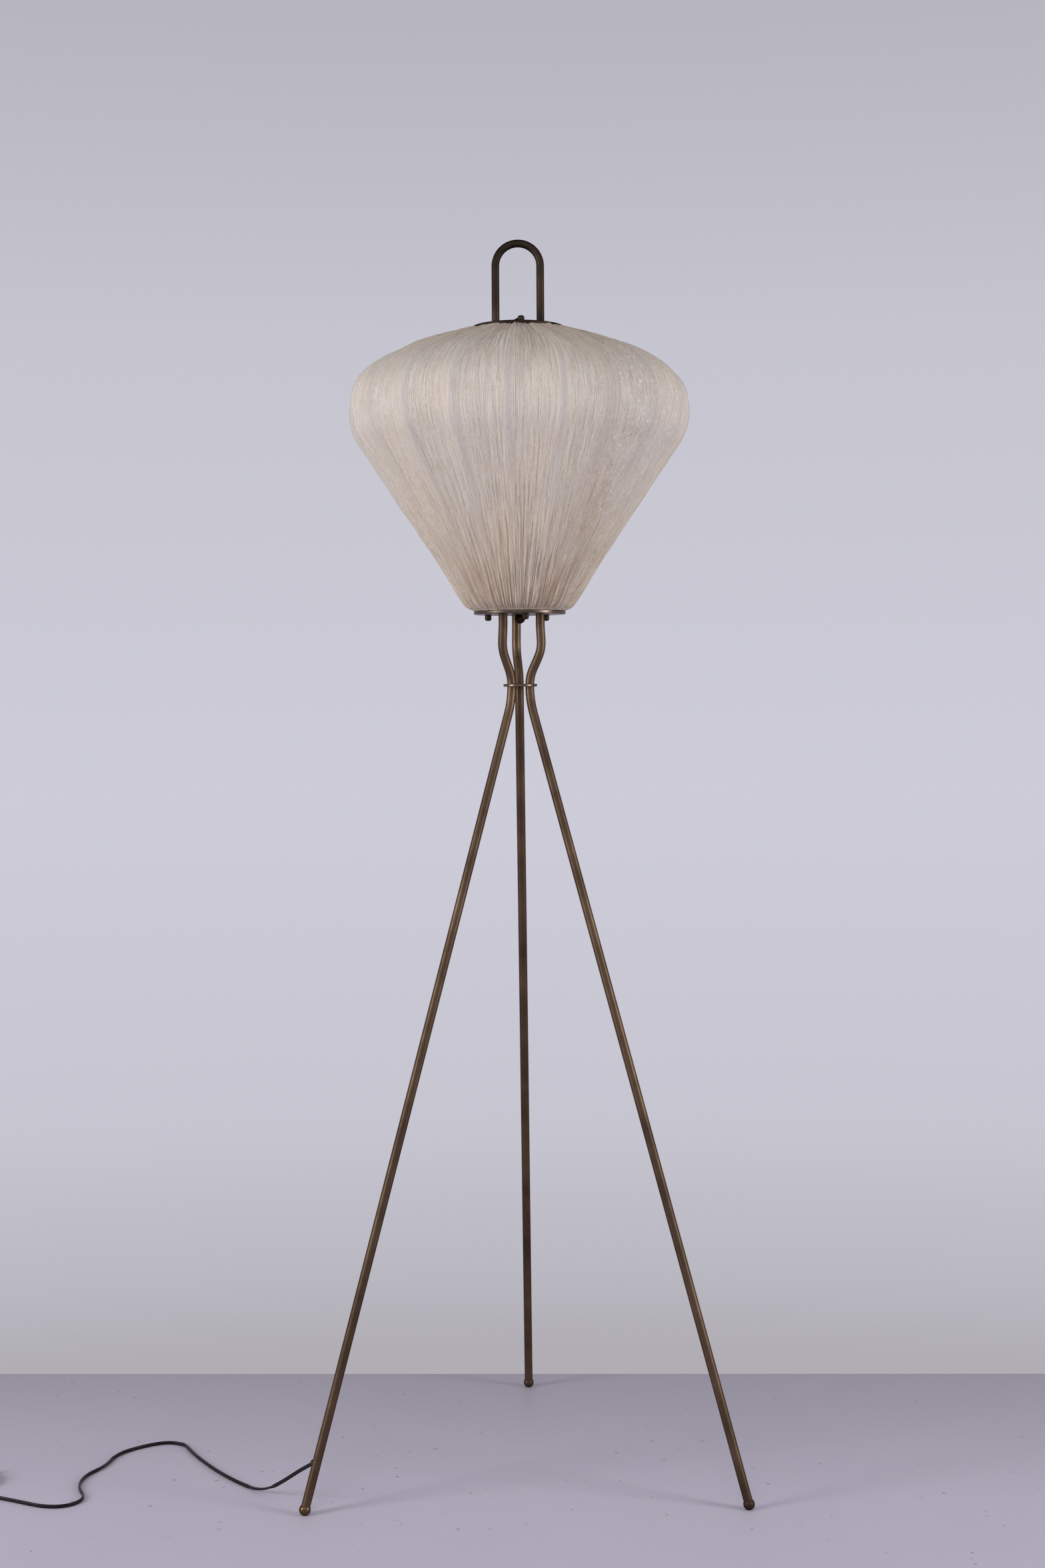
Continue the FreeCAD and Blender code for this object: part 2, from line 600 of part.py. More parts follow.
def make_plug(tip, way, tail):
    """A flat two-pin plug with a tapered relief on its lead. It lies flat on the floor."""
    relief_long = 24.0
    relief = turned([(0, 0), (3.3, 0), (5.2, relief_long), (0, relief_long)], tip, way)
    root = tip + way * relief_long
    across = UP.cross(way)
    half = {"root": 9.0, "waist": 12.0, "face": 17.6}
    long_ = 36.0
    outline = [root - across * half["root"], root + way * 12 - across * half["waist"],
               root + way * long_ - across * half["face"], root + way * long_ + across * half["face"],
               root + way * 12 + across * half["waist"], root + across * half["root"]]
    outline.append(outline[0])
    thick = 13.7
    body = Part.Face(Part.makePolygon([p - UP * (thick / 2) for p in outline])).extrude(UP * thick)
    body = body.makeFillet(2.0, body.Edges)
    body = body.fuse(relief).cut(tail).removeSplitter()
    face = root + way * long_
    pins = []
    for side in (-9.5, 9.5):
        start = face + across * side
        pin = cylinder(2.0, start - way * 4, start + way * 19)
        tip_edges = [e for e in pin.Edges if (e.CenterOfMass - (start + way * 19)).Length < 0.1]
        pins.append(pin.makeFillet(1.2, tip_edges))
    for pin in pins:
        body = body.cut(pin)
    save("plug_body", body)
    save("plug_pins", *pins)


def main():
    os.makedirs("parts", exist_ok=True)
    leg_outers = make_legs()
    make_leg_tops()
    inner_lead = make_inner_lead()
    make_grommet(leg_outers[0], inner_lead)
    make_plates(leg_outers)
    make_fabric()
    make_frame()
    make_cluster(inner_lead)
    make_handle()
    make_lead()
    for node, shape in NODES.items():
        if not shape.isValid() or shape.Volume <= 0:
            print("bad solid:", node)


main()
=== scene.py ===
"""Looks of the tripod floor lamp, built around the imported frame.

Metres, +Z up, with the lamp's axis at x = y = 0 and the floor at z = 0.
"""
import math

import bpy
import numpy as np
from mathutils import Matrix, Vector


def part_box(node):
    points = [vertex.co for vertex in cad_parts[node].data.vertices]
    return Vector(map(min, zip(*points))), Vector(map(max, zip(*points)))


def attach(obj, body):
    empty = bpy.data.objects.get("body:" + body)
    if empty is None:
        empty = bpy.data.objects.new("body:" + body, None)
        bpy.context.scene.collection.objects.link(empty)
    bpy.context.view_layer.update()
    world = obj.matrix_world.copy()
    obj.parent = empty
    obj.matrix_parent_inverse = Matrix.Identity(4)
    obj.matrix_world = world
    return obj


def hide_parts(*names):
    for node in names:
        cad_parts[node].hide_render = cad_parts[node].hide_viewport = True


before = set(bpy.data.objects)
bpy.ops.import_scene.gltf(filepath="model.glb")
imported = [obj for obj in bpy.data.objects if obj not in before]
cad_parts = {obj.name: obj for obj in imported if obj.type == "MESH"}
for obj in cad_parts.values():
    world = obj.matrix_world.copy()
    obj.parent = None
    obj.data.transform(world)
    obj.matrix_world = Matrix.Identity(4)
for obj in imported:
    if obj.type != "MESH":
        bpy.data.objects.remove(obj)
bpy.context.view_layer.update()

LAMP = "lamp"                   # the body that every new piece rides on
UP = (0, 0, 1)
scene = bpy.context.scene


# ---------------------------------------------------------------- helpers
def share(x):
    """x held between 0 and 1."""
    return np.clip(x, 0, 1)


def smooth(x):
    """Eases from 0 to 1 while x goes from 0 to 1."""
    x = share(x)
    return x * x * (3 - 2 * x)


def run_length(points):
    """Distance along the line from its first point to each of its points."""
    return np.concatenate([[0], np.cumsum(np.linalg.norm(np.diff(points, axis=0), axis=1))])


def unit(vectors):
    return vectors / np.linalg.norm(vectors, axis=1)[:, None]


def middle(node):
    """Middle of a node's box at rest."""
    low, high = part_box(node)
    return (Vector(low) + Vector(high)) / 2


def add_object(name, data):
    ob = bpy.data.objects.new(name, data)
    scene.collection.objects.link(ob)
    return ob


# ---------------------------------------------------------------- camera
CAMERA_PLACE = (0.059, -3.0916, 1.1404)     # three metres in front, level with the waist plate
CAMERA_YAW = math.radians(-1.05)            # to the right of +Y
CAMERA_PITCH = math.radians(2.61)           # below level
CAMERA_ROLL = math.radians(-0.35)
CAMERA_LENS = 49.24                         # mm, on a sensor with a longer side of 36 mm


def make_camera():
    up = Vector(UP)
    ahead = Vector((math.sin(CAMERA_YAW), math.cos(CAMERA_YAW), 0))
    right = Vector((math.cos(CAMERA_YAW), -math.sin(CAMERA_YAW), 0))
    look = ahead * math.cos(CAMERA_PITCH) - up * math.sin(CAMERA_PITCH)
    top = up * math.cos(CAMERA_PITCH) + ahead * math.sin(CAMERA_PITCH)
    x_axis = right * math.cos(CAMERA_ROLL) + top * math.sin(CAMERA_ROLL)
    y_axis = top * math.cos(CAMERA_ROLL) - right * math.sin(CAMERA_ROLL)
    data = bpy.data.cameras.new("camera")
    data.lens = CAMERA_LENS
    data.sensor_width = 36
    turn = Matrix((x_axis, y_axis, -look)).transposed().to_4x4()
    scene.camera = add_object("camera", data)
    scene.camera.matrix_world = Matrix.Translation(CAMERA_PLACE) @ turn


# ---------------------------------------------------------------- node helpers
WAVE_PERIOD = math.pi / 10      # the wave texture's bands repeat after this much of its coordinate


class Material:
    """A node material with a Principled shader. Most methods add nodes and return the socket they end in."""

    def __init__(self, name, color, roughness, metallic=0.0, **constants):
        self.data = bpy.data.materials.new(name)
        self.data.use_nodes = True
        self.nodes = self.data.node_tree.nodes
        self.links = self.data.node_tree.links
        self.shader = self.nodes["Principled BSDF"]
        self.shader.inputs["Base Color"].default_value = (*color, 1)
        self.shader.inputs["Roughness"].default_value = roughness
        self.shader.inputs["Metallic"].default_value = metallic
        for key, value in constants.items():
            socket = self.shader.inputs[key.replace("_", " ")]
            socket.default_value = (*value, 1) if isinstance(value, tuple) else value

    def put(self, socket, value):
        """Links the value to the socket if it is a socket too, and sets it as a constant if not."""
        if isinstance(value, bpy.types.NodeSocket):
            self.links.new(value, socket)
        elif isinstance(value, tuple) and len(socket.default_value) == 4:
            socket.default_value = (*value, 1)
        else:
            socket.default_value = value

    def set(self, name, value):
        self.put(self.shader.inputs[name], value)

    def coords(self, scale, along=None, source="Object"):
        """Scaled object or UV coordinates. `along` turns them so that their z runs in that direction."""
        vector = self.nodes.new("ShaderNodeTexCoord").outputs[source]
        if along is not None:
            turn = self.nodes.new("ShaderNodeMapping")
            turn.vector_type = "POINT"
            turn.inputs["Rotation"].default_value = Vector(along).rotation_difference(Vector(UP)).to_euler()
            self.links.new(vector, turn.inputs["Vector"])
            vector = turn.outputs["Vector"]
        stretch = self.nodes.new("ShaderNodeMapping")
        stretch.inputs["Scale"].default_value = scale
        self.links.new(vector, stretch.inputs["Vector"])
        return stretch.outputs["Vector"]

    def even(self, scale):
        """Object coordinates with the same scale each way."""
        return self.coords((scale, scale, scale))

    def axis_of(self, vector, axis):
        """One axis of a vector."""
        split = self.nodes.new("ShaderNodeSeparateXYZ")
        self.links.new(vector, split.inputs["Vector"])
        return split.outputs[axis]

    def noise_node(self, vector, detail, roughness):
        node = self.nodes.new("ShaderNodeTexNoise")
        node.inputs["Scale"].default_value = 1.0
        node.inputs["Detail"].default_value = detail
        node.inputs["Roughness"].default_value = roughness
        self.links.new(vector, node.inputs["Vector"])
        return node

    def noise(self, vector, detail=2.0, roughness=0.5):
        return self.noise_node(vector, detail, roughness).outputs["Fac"]

    def wavy(self, scale, wave_scale, reach):
        """UV coordinates pushed a little to and fro, so that straight streaks along the cloth turn wavy."""
        push = self.noise_node(self.coords(wave_scale, source="UV"), 1.0, 0.5)
        pushed = self.nodes.new("ShaderNodeVectorMath")
        pushed.operation = "MULTIPLY_ADD"
        self.links.new(push.outputs["Color"], pushed.inputs[0])
        pushed.inputs[1].default_value = tuple(reach * s for s in scale)
        self.links.new(self.coords(scale, source="UV"), pushed.inputs[2])
        return pushed.outputs["Vector"]

    def combed(self, pitch, wave_scale, reach):
        """Ridges of even pitch along the cloth, in metres, that waver a little."""
        node = self.nodes.new("ShaderNodeTexWave")
        node.wave_type = "BANDS"
        node.bands_direction = "X"
        node.inputs["Scale"].default_value = 1.0
        node.inputs["Distortion"].default_value = 0.0
        self.links.new(self.wavy((WAVE_PERIOD / pitch, 0, 0), wave_scale, reach), node.inputs["Vector"])
        return node.outputs["Fac"]

    def ramp(self, value, low, high, out_low=0.0, out_high=1.0):
        node = self.nodes.new("ShaderNodeMapRange")
        node.inputs["From Min"].default_value = low
        node.inputs["From Max"].default_value = high
        node.inputs["To Min"].default_value = out_low
        node.inputs["To Max"].default_value = out_high
        self.links.new(value, node.inputs["Value"])
        return node.outputs["Result"]

    def calculate(self, operation, a, b):
        node = self.nodes.new("ShaderNodeMath")
        node.operation = operation
        self.put(node.inputs[0], a)
        self.put(node.inputs[1], b)
        return node.outputs[0]

    def times(self, a, b):
        return self.calculate("MULTIPLY", a, b)

    def plus(self, a, b):
        return self.calculate("ADD", a, b)

    def mix(self, factor, a, b):
        """Colour a where the factor is 0, colour b where it is 1."""
        node = self.nodes.new("ShaderNodeMix")
        node.data_type = "RGBA"
        self.put(node.inputs["Factor"], factor)
        first, second = (s for s in node.inputs if s.type == "RGBA")
        self.put(first, a)
        self.put(second, b)
        return next(s for s in node.outputs if s.type == "RGBA")

    def channel(self, attribute, name):
        """One channel of a mesh's colour attribute."""
        node = self.nodes.new("ShaderNodeAttribute")
        node.attribute_name = attribute
        if name == "Alpha":
            return node.outputs["Alpha"]
        split = self.nodes.new("ShaderNodeSeparateColor")
        self.links.new(node.outputs["Color"], split.inputs["Color"])
        return split.outputs[name]

    def bump(self, height, distance, strength, under=None):
        node = self.nodes.new("ShaderNodeBump")
        node.inputs["Distance"].default_value = distance
        self.put(node.inputs["Strength"], strength)
        self.links.new(height, node.inputs["Height"])
        if under is not None:
            self.links.new(under, node.inputs["Normal"])
        return node.outputs["Normal"]


# ---------------------------------------------------------------- lead
LEAD_WIDE = 0.0054
LEAD_THICK = 0.0032
CORE_R = LEAD_THICK / 2
CORE_OFFSET = LEAD_WIDE / 2 - CORE_R
CORE_POINTS = 9                 # outline points on each core
GROOVE = 0.72                   # a core's arc ends this share of the way from its centre to the lead's middle
ON_FLOOR = LEAD_WIDE / 2        # height of the middle of the lead where it stands on its edge on the floor

# The lead's line from the grommet in the front left leg down to the floor and along it to the coil
LEAD_RUN = [
    (-0.29194, -0.17102, 0.06582), (-0.30926, -0.15700, 0.05243), (-0.336, -0.136, 0.0285),
    (-0.359, -0.117, 0.0105), (-0.382, -0.1005, ON_FLOOR), (-0.410, -0.074, ON_FLOOR),
    (-0.441, -0.038, ON_FLOOR), (-0.471, 0.004, ON_FLOOR), (-0.500, 0.052, ON_FLOOR),
    (-0.513, 0.0805, ON_FLOOR), (-0.543, 0.091, ON_FLOOR), (-0.580, 0.0695, ON_FLOOR),
    (-0.608, 0.039, ON_FLOOR), (-0.615, -0.010, ON_FLOOR), (-0.637, -0.049, ON_FLOOR),
    (-0.6375, -0.092, ON_FLOOR), (-0.616, -0.134, ON_FLOOR), (-0.633, -0.163, ON_FLOOR),
    (-0.667, -0.167, ON_FLOOR), (-0.715, -0.143, ON_FLOOR), (-0.7661, -0.1214, ON_FLOOR),
    (-0.80882, -0.10421, ON_FLOOR),
]
# and from the coil into the plug
LEAD_TAIL = [
    (-0.8319, -0.070, 0.0081), (-0.8345, -0.043, 0.0082), (-0.843, -0.018, 0.0074),
    (-0.84984, 0.00079, 0.0070),
]
# Stretches that lie on the lead's wide side, not on its edge: place of the middle, and half length
FLAT_STRETCHES = [((-0.371, -0.102), 0.020), ((-0.500, 0.050), 0.026), ((-0.616, 0.000), 0.016)]
FLAT_BLEND = 0.016              # length in which the lead turns over

COIL_CENTRE = (-0.795, -0.070)
COIL_MID_R = 0.0315
COIL_INNER_R = COIL_MID_R - LEAD_WIDE
COIL_OUTER_R = COIL_MID_R + LEAD_WIDE
COIL_ENTRY = 248.0              # azimuth where the lead comes in, in degrees
COIL_EXIT = 180.0
COIL_STEP = 30.0                # degrees between control points
LAYER_TURNS = 2                 # turns in each of the coil's two layers
LINE_INSET = 0.9665             # radius of the smooth line as a share of its control points' radius


def coil_points():
    """The coil: one layer on the floor that winds inwards, and one on top of it that winds outwards."""
    points = []
    low, high = ON_FLOOR, LEAD_WIDE * 1.5
    rise = (COIL_ENTRY - COIL_EXIT) / 360
    turns = 2 * LAYER_TURNS + rise
    steps = int(round(turns * 360 / COIL_STEP))
    for i in range(1, steps):
        turn = turns * i / steps
        if turn < LAYER_TURNS:
            radius = COIL_OUTER_R + (COIL_INNER_R - COIL_OUTER_R) * turn / LAYER_TURNS
            z = low
        elif turn < LAYER_TURNS + rise:
            radius = COIL_INNER_R
            z = low + (high - low) * (turn - LAYER_TURNS) / rise
        else:
            radius = COIL_INNER_R + (COIL_OUTER_R - COIL_INNER_R) * (turn - LAYER_TURNS - rise) / LAYER_TURNS
            z = high
        azimuth = math.radians(COIL_ENTRY - 360 * turn)
        points.append((COIL_CENTRE[0] + radius / LINE_INSET * math.cos(azimuth),
                       COIL_CENTRE[1] + radius / LINE_INSET * math.sin(azimuth), z))
    return points


def spline_path(points):
    """Points along the smooth line that has these control points."""
    curve = bpy.data.curves.new("lead_line", "CURVE")
    curve.dimensions = "3D"
    spline = curve.splines.new("NURBS")
    spline.points.add(len(points) - 1)
    for control, place in zip(spline.points, points):
        control.co = (*place, 1)
    spline.order_u = 3
    spline.use_endpoint_u = True
    spline.resolution_u = 10
    line = bpy.data.objects.new("lead_line", curve)
    mesh = bpy.data.meshes.new_from_object(line)
    path = np.array([v.co[:] for v in mesh.vertices])
    bpy.data.objects.remove(line)
    bpy.data.curves.remove(curve)
    bpy.data.meshes.remove(mesh)
    return path


def lead_section():
    """Outline of a flat twin lead: two round cores side by side with a shallow groove between them."""
    reach = math.pi - math.acos(CORE_OFFSET * GROOVE / CORE_R)
    points = []
    for side in (1, -1):
        for i in range(CORE_POINTS):
            a = -reach + 2 * reach * i / (CORE_POINTS - 1)
            points.append((side * (CORE_OFFSET + CORE_R * math.cos(a)), side * CORE_R * math.sin(a)))
    return np.array(points)


def lead_turned_over(path):
    """Along the lead's line: 1 where it lies on its wide side, 0 where it stands on its edge."""
    run = run_length(path)
    turned = np.zeros(len(path))
    for centre, half in FLAT_STRETCHES:
        nearest = np.argmin(np.hypot(path[:, 0] - centre[0], path[:, 1] - centre[1]))
        turned = np.maximum(turned, smooth((half + FLAT_BLEND - np.abs(run - run[nearest])) / FLAT_BLEND))
    return turned


def lead_rings(path, section):
    """The section's outline at each point of the line."""
    tangent = unit(np.gradient(path, axis=0))
    side = unit(np.cross(tangent, UP))
    top = np.cross(side, tangent)
    angle = lead_turned_over(path)[:, None] * math.pi / 2
    wide = np.cos(angle) * top + np.sin(angle) * side
    thin = np.cross(wide, tangent)
    return path[:, None] + section[None, :, :1] * wide[:, None] + section[None, :, 1:] * thin[:, None]


def tube_faces(rings, count):
    """Faces of a tube with `rings` outlines of `count` points each, and its two ends."""
    faces = []
    for i in range(rings - 1):
        for j in range(count):
            k = (j + 1) % count
            faces.append((i * count + j, i * count + k, (i + 1) * count + k, (i + 1) * count + j))
    faces.append(tuple(range(count))[::-1])
    faces.append(tuple((rings - 1) * count + j for j in range(count)))
    return faces


def make_lead(material):
    path = spline_path(LEAD_RUN + coil_points() + LEAD_TAIL)
    section = lead_section()
    verts = lead_rings(path, section).reshape(-1, 3)
    mesh = bpy.data.meshes.new("lead")
    mesh.from_pydata([tuple(v) for v in verts], [], tube_faces(len(path), len(section)))
    mesh.validate()
    mesh.shade_smooth()
    mesh.materials.append(material.data)
    lead = add_object("lead", mesh)
    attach(lead, LAMP)
    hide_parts("supply_cord", "cord_coil", "cord_tail")


# ---------------------------------------------------------------- shade: outline
EQUATOR_R = 0.2445              # radius and height of the shade's widest line
EQUATOR_Z = 1.531
BELLY_R = 0.079                 # arc just under the widest line
TAPER = math.radians(34)        # how far the straight lower part leans out from upright
HEM_KNEE_Z = 1.2585             # where the cloth turns in towards the lower plate
HEM_FOOT_R = 0.0657
CROWN_TOP_R = 0.064             # where the cloth goes under the upper plate
CROWN_REACH_POWER = 1.317       # the crown is a superellipse with these two powers
CROWN_RISE_POWER = 2.594
CROWN_POINTS = 400
CROWN_SPACING = 1.6             # over 1 brings the crown's points closer together near the widest line
EQUATOR_BLEND = 0.045           # height over which belly and crown are softened into one another
EQUATOR_PASSES = 14
COLUMNS = 1320
ROWS = 168


def crown_outline(top_z):
    """The part above the widest line, up to the upper plate."""
    top_share = CROWN_TOP_R / EQUATOR_R
    rise = (top_z - EQUATOR_Z) / (1 - top_share ** CROWN_REACH_POWER) ** (1 / CROWN_RISE_POWER)
    end = math.acos(top_share ** (CROWN_REACH_POWER / 2))
    return [(EQUATOR_R * math.cos(t) ** (2 / CROWN_REACH_POWER),
             EQUATOR_Z + rise * math.sin(t) ** (2 / CROWN_RISE_POWER))
            for t in end * np.linspace(0, 1, CROWN_POINTS)[1:] ** CROWN_SPACING]


def shade_profile():
    """(radius, height) of the cloth at even steps from hem to upper plate, and its whole length."""
    hem_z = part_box("lower_plate")[1][2]
    top_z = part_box("upper_plate")[0][2]
    centre = EQUATOR_R - BELLY_R
    belly = [(centre + BELLY_R * math.cos(a), EQUATOR_Z - BELLY_R * math.sin(a))
             for a in np.linspace(TAPER, 0, 40)]
    foot_r, foot_z = belly[0]
    knee_r = foot_r - (foot_z - HEM_KNEE_Z) * math.tan(TAPER)
    points = np.array([(HEM_FOOT_R, hem_z), (knee_r, HEM_KNEE_Z)] + belly + crown_outline(top_z))
    run = run_length(points)
    even = np.linspace(0, run[-1], ROWS + 1)
    profile = np.stack([np.interp(even, run, points[:, axis]) for axis in (0, 1)], axis=1)
    near_equator = np.exp(-((profile[:, 1] - EQUATOR_Z) / EQUATOR_BLEND) ** 2)[1:-1, None]
    for _ in range(EQUATOR_PASSES):
        softer = (profile[:-2] + 2 * profile[1:-1] + profile[2:]) / 4
        profile[1:-1] += (softer - profile[1:-1]) * near_equator
    return profile, run[-1]


# ---------------------------------------------------------------- shade: folds of the cloth
# Reaches, depths and widths are metres of cloth. Angles at the seam are degrees.
RIB_COUNT = 20
RIB_START = 15.7                # azimuth of the first rib, in degrees
RIB_SHADE_BAND = 0.0060               # half width of the band of painted shade over each rib
SLACK = (0.8, 1.2)              # least and most of the sag, which differs from bay to bay
BAY_SAG = 0.0058                # how far the cloth hangs in midway between two ribs
RIB_SAG = 0.0026                # and how far more it drops close beside each rib
RIB_SAG_REACH = 0.009
RIB_CREST = 0.0032              # half width of the strip over a rib that stays clear of it
RIB_GAP = 0.0006
RIB_SIDE_SLOPE = 0.7            # beyond the strip the cloth may fall away this steeply

SEAM_AZIMUTH = 303.7
SEAM_LAP = 1.5                  # cloth lapped over the seam
LAP_STEP = 0.0007               # how far the lapped cloth stands out

GATHER_REACH = (0.085, 0.040)   # how far the deep gathers reach from the hem and from the upper plate
GATHER_WIDE_REACH = (0.20, 0.12)
FOLD_DEPTH = 0.0032
FINE_DEPTH, FINE_DEPTH_MORE = 0.0007, 0.0009        # everywhere, and added where the cloth is gathered
SOFT_DEPTH, SOFT_DEPTH_MORE = 0.0004, 0.0007
PUCKER_DEPTH = 0.0018
CRUMPLE_DEPTH = 0.0007
OVERHANG = 0.0016               # the cloth bulges a little over the hem
OVERHANG_PLACE, OVERHANG_REACH = 0.028, 0.020
HEM_FADE, TOP_FADE = 0.010, 0.014                   # where the folds flatten out at the two plates
PLATE_GAP = 0.0003
PLATE_CLEAR_R = 0.069           # outside this radius the cloth may rise past the upper plate's underside
PLATE_CLEAR_SLOPE = 0.5

NOISE_SEED = 41
# Cells of the noises, round the shade and up it
DRIFT_CELLS = (60, 5)
FOLD_CELLS = (176, 3)
FINE_CELLS = (430, 9)
SOFT_CELLS = (52, 12)
PUCKER_CELLS = (2, 60)
PATCH_CELLS = (64, 20)
CRUMPLE_CELLS = (230, 80)
DRIFT = 0.0007                  # share of a turn by which the folds wander


def lattice_noise(rng, turn, height, cells):
    """Smooth noise from -1 to 1 that repeats after one turn. `turn` and `height` go from 0 to 1."""
    around, along = cells
    grid = rng.uniform(-1, 1, (along + 2, around))
    x, y = turn * around, height * along
    x0, y0 = np.floor(x).astype(int), np.floor(y).astype(int)
    fx, fy = smooth(x - x0), smooth(y - y0)
    x0, x1 = x0 % around, (x0 + 1) % around
    low = grid[y0, x0] * (1 - fx) + grid[y0, x1] * fx
    high = grid[y0 + 1, x0] * (1 - fx) + grid[y0 + 1, x1] * fx
    return low * (1 - fy) + high * fy


class Cloth:
    """The shade's cloth as a grid of rows up its outline and columns round it, from the seam to the seam."""

    def __init__(self):
        self.profile, self.length = shade_profile()
        self.degrees = SEAM_AZIMUTH + np.linspace(0, 360 + SEAM_LAP, COLUMNS + 1)
        self.from_seam = self.degrees - SEAM_AZIMUTH
        self.past_seam = self.degrees - (SEAM_AZIMUTH + 360)
        self.turn, self.height = np.meshgrid((self.degrees / 360) % 1, np.linspace(0, 1, ROWS + 1))
        self.radius = self.fill(self.profile[:, :1])
        self.from_hem = self.height * self.length
        self.from_top = (1 - self.height) * self.length
        self.gather = self.near_plates(GATHER_REACH)
        self.gather_wide = self.near_plates(GATHER_WIDE_REACH)
        bay = (self.degrees - RIB_START) / (360 / RIB_COUNT)
        self.bay = np.floor(bay).astype(int) % RIB_COUNT
        self.across_bay = self.fill(bay - np.floor(bay))
        to_rib = np.minimum(self.across_bay, 1 - self.across_bay)
        self.from_rib = to_rib * (2 * math.pi / RIB_COUNT) * self.radius
        self.fullness = share(self.radius / EQUATOR_R) ** 1.5

    def fill(self, values):
        return np.broadcast_to(values, self.turn.shape)

    def near_plates(self, reach):
        return np.exp(-self.from_hem / reach[0]) + np.exp(-self.from_top / reach[1])

    def noise(self, rng, cells, drift=0.0):
        return lattice_noise(rng, self.turn + drift, self.height, cells)


def rib_sag(cloth, rng):
    """The cloth runs nearly straight from rib to rib, with a tighter curve next to each rib."""
    slack = rng.uniform(*SLACK, RIB_COUNT)[cloth.bay][None, :]
    arch = BAY_SAG * (1 - (2 * cloth.across_bay - 1) ** 2)
    drop = RIB_SAG * (1 - np.exp(-cloth.from_rib / RIB_SAG_REACH))
    return cloth.fullness * slack * (arch + drop)


def gathers(cloth, rng):
    """Rounded folds, deepest at the two plates, and a mask of painted shade that is 1 at the bottom of the
    narrow valleys between them.
    """
    drift = DRIFT * cloth.noise(rng, DRIFT_CELLS)
    folds = np.abs(cloth.noise(rng, FOLD_CELLS, drift))
    fine = np.abs(cloth.noise(rng, FINE_CELLS, drift))
    soft = cloth.noise(rng, SOFT_CELLS)
    gathered = share(cloth.gather_wide)
    lift = FOLD_DEPTH * share(cloth.gather) * (np.minimum(folds * 2.2, 1) - 0.32)
    lift = lift + (FINE_DEPTH + FINE_DEPTH_MORE * gathered) * (np.minimum(fine * 1.6, 1) - 0.25)
    lift = lift + (SOFT_DEPTH + SOFT_DEPTH_MORE * gathered) * soft
    deep = share(1 - folds * 4.2) * share(cloth.gather * 1.5)
    shallow = 0.6 * share(1 - fine * 3.4) * np.clip(cloth.gather_wide, 0.05, 1)
    return lift, np.maximum(deep, shallow)


def seam_pucker(cloth, rng):
    """Small puckers along the seam."""
    near = np.exp(-np.minimum(np.abs(cloth.past_seam), cloth.from_seam) / 1.1)[None, :]
    return near * PUCKER_DEPTH * lattice_noise(rng, cloth.turn * 0, cloth.height, PUCKER_CELLS)


def seam_shade(cloth):
    """Painted shadow as a dark line at the edge of the lap, and painted shade on the cloth that rises to it.
    """
    line = np.exp(-((cloth.from_seam - SEAM_LAP - 0.35) / 0.45) ** 2)
    beside = smooth((cloth.past_seam + 4.5) / 2.5)
    return cloth.fill(np.maximum(0.75 * line, 0.22 * beside))


def seam_crumple(cloth, rng):
    """How crumpled the cloth is: most in the first bay after the seam, in patches, and not in the gathers."""
    fades_in = smooth((cloth.from_seam - 1) / 2)
    first_bay = 0.35 + 0.65 * smooth((26 - cloth.from_seam) / 18)
    fades_out = smooth((56 - cloth.from_seam) / 16)
    patchy = 0.45 + 0.55 * smooth(0.6 + 0.9 * cloth.noise(rng, PATCH_CELLS))
    return cloth.fill(fades_in * first_bay * fades_out) * patchy * share(1.1 - cloth.gather * 1.1)


def cloth_places(cloth, lift, sag):
    """Places of the grid's points: the outline moved out by the folds and in by the sag."""
    lap = LAP_STEP * smooth((cloth.past_seam + 2.5) / 2.0)[None, :]
    overhang = OVERHANG * np.exp(-((cloth.from_hem - OVERHANG_PLACE) / OVERHANG_REACH) ** 2)
    clear_of_rib = -RIB_GAP - RIB_SIDE_SLOPE * np.maximum(cloth.from_rib - RIB_CREST, 0)
    move = np.maximum(lift + lap + overhang - sag, clear_of_rib)
    along = unit(np.gradient(cloth.profile, axis=0))
    out_r, out_z = along[:, 1:], -along[:, :1]
    # the folds flatten out where the cloth goes in on the lower plate and under the upper one
    near_hem = smooth(cloth.from_hem / HEM_FADE)
    near_top = smooth(cloth.from_top / TOP_FADE)
    ring = cloth.radius + out_r * move * (0.15 + 0.85 * near_hem) * (0.1 + 0.9 * near_top)
    z = cloth.profile[:, 1:] + out_z * move * near_hem * near_top
    plate_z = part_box("upper_plate")[0][2]
    z = np.minimum(z, plate_z - PLATE_GAP + PLATE_CLEAR_SLOPE * np.maximum(ring - PLATE_CLEAR_R, 0))
    azimuth = np.radians(cloth.degrees)
    return np.stack([ring * np.cos(azimuth), ring * np.sin(azimuth), z], axis=-1).reshape(-1, 3)


